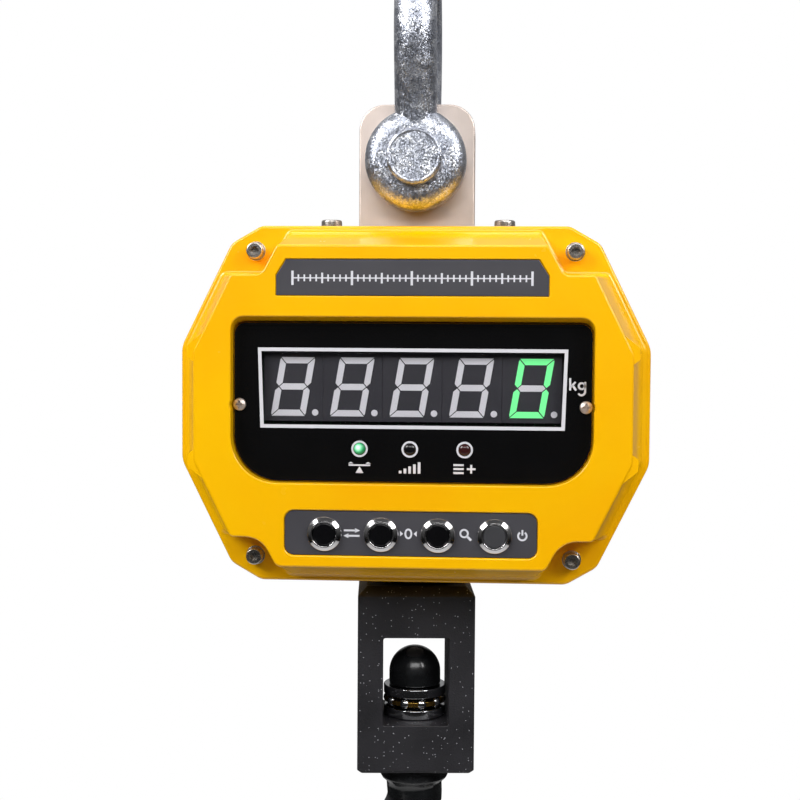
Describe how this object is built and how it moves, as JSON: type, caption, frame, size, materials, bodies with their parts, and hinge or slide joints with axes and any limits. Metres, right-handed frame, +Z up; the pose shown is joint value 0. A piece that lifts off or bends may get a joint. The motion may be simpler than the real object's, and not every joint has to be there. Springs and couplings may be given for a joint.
{
  "type": "crane scale",
  "caption": "Hanging scale with a shackle above, a load cell in a painted octagonal case with a digit display and push buttons, and a latched swivel hook below.",
  "frame": {"origin": "inside of the shackle's crown, where the crane's hook bears", "axes": "+Z up along the load line, -Y the way the display faces, +X to the right of its reader"},
  "size_m": [0.244, 0.1402, 0.6068],
  "materials": {
    "galvanised_steel": "hot-dip galvanised, spangled",
    "nickel_plated_steel": "satin nickel",
    "yellow_enamel": "gloss enamel",
    "black_rubber": "matte",
    "stainless_steel": "satin",
    "black_acrylic": "gloss",
    "smoked_acrylic": "gloss",
    "grey_plastic": "matte",
    "green_lamp": "lit",
    "dark_lamp": "gloss",
    "red_lamp": "gloss",
    "grey_label": "matte",
    "chrome_plate": "polished",
    "circuit_board": "solder resist",
    "battery_case": "matte",
    "black_powder_coat": "coarse powder coat",
    "black_enamel": "gloss enamel on a forging",
    "zinc_plate": "zinc plated",
    "bearing_steel": "ground",
    "brass": "turned"
  },
  "bodies": {
    "shackle": {"shackle_bow": "galvanised_steel", "shackle_pin": "galvanised_steel"},
    "scale": {"battery": "battery_case", "battery_door": "yellow_enamel", "bearing_lower_race": "bearing_steel", "bottom_seal": "black_rubber", "button_body_1": "chrome_plate", "button_body_2": "chrome_plate", "button_body_3": "chrome_plate", "button_body_4": "chrome_plate", "case_gasket": "black_rubber", "case_screw_lower_left": "stainless_steel", "case_screw_lower_right": "stainless_steel", "case_screw_upper_left": "stainless_steel", "case_screw_upper_right": "stainless_steel", "cell_bracket": "zinc_plate", "charger_cap": "black_rubber", "charger_socket": "chrome_plate", "digit_1": "grey_plastic", "digit_2": "grey_plastic", "digit_3": "grey_plastic", "digit_4": "grey_plastic", "digit_5": "grey_plastic", "display_board": "circuit_board", "display_filter": "smoked_acrylic", "display_panel": "black_acrylic", "door_screw_left": "stainless_steel", "door_screw_right": "stainless_steel", "front_cover": "yellow_enamel", "gauge_cover": "stainless_steel", "hook_block": "black_powder_coat", "key_plate": "grey_label", "lamp_1": "green_lamp", "lamp_2": "dark_lamp", "lamp_3": "red_lamp", "load_cell": "nickel_plated_steel", "main_board": "circuit_board", "name_plate": "grey_label", "panel_screw_left": "stainless_steel", "panel_screw_right": "stainless_steel", "rear_cover": "yellow_enamel", "screw_washer_lower_left": "stainless_steel", "screw_washer_lower_right": "stainless_steel", "screw_washer_upper_left": "stainless_steel", "screw_washer_upper_right": "stainless_steel", "stud_pin": "stainless_steel", "top_bolt_left": "stainless_steel", "top_bolt_right": "stainless_steel", "top_seal": "black_rubber"},
    "hook": {"bearing_upper_race": "bearing_steel", "hook": "black_enamel", "hook_nut": "black_enamel", "latch_pin": "zinc_plate", "latch_spring": "bearing_steel"},
    "cage": {"bearing_cage": "brass"},
    "latch": {"latch": "zinc_plate"},
    "key_1": {"button_cap_1": "black_acrylic"},
    "key_2": {"button_cap_2": "black_acrylic"},
    "key_3": {"button_cap_3": "black_acrylic"},
    "key_4": {"button_cap_4": "black_acrylic"}
  },
  "joints": [
    {"name": "scale_swing", "type": "hinge", "parent": "shackle", "child": "scale", "pos_m": [0, 0, -0.0965], "axis": [0, 1, 0], "range_deg": [-90, 90]},
    {"name": "hook_swivel", "type": "hinge", "parent": "scale", "child": "hook", "pos_m": [0, 0, -0.5168], "axis": [0, 0, 1], "continuous": true},
    {"name": "cage_turn", "type": "hinge", "parent": "scale", "child": "cage", "pos_m": [0, 0, -0.5168], "axis": [0, 0, 1], "continuous": true},
    {"name": "latch_swing", "type": "hinge", "parent": "hook", "child": "latch", "pos_m": [0.0195, 0, -0.4568], "axis": [0, 1, 0], "range_deg": [0, 45], "stiffness_Nm_per_rad": 0.03, "springref_deg": -22.92},
    {"name": "key_1_press", "type": "slide", "parent": "scale", "child": "key_1", "axis": [0, 1, 0], "range_m": [0, 0.0015], "stiffness_N_per_m": 600, "springref_m": -0.001},
    {"name": "key_2_press", "type": "slide", "parent": "scale", "child": "key_2", "axis": [0, 1, 0], "range_m": [0, 0.0015], "stiffness_N_per_m": 600, "springref_m": -0.001},
    {"name": "key_3_press", "type": "slide", "parent": "scale", "child": "key_3", "axis": [0, 1, 0], "range_m": [0, 0.0015], "stiffness_N_per_m": 600, "springref_m": -0.001},
    {"name": "key_4_press", "type": "slide", "parent": "scale", "child": "key_4", "axis": [0, 1, 0], "range_m": [0, 0.0015], "stiffness_N_per_m": 600, "springref_m": -0.001}
  ],
  "couplings": [
    {"joint": "cage_turn", "follows": "hook_swivel", "ratio": 0.5}
  ]
}
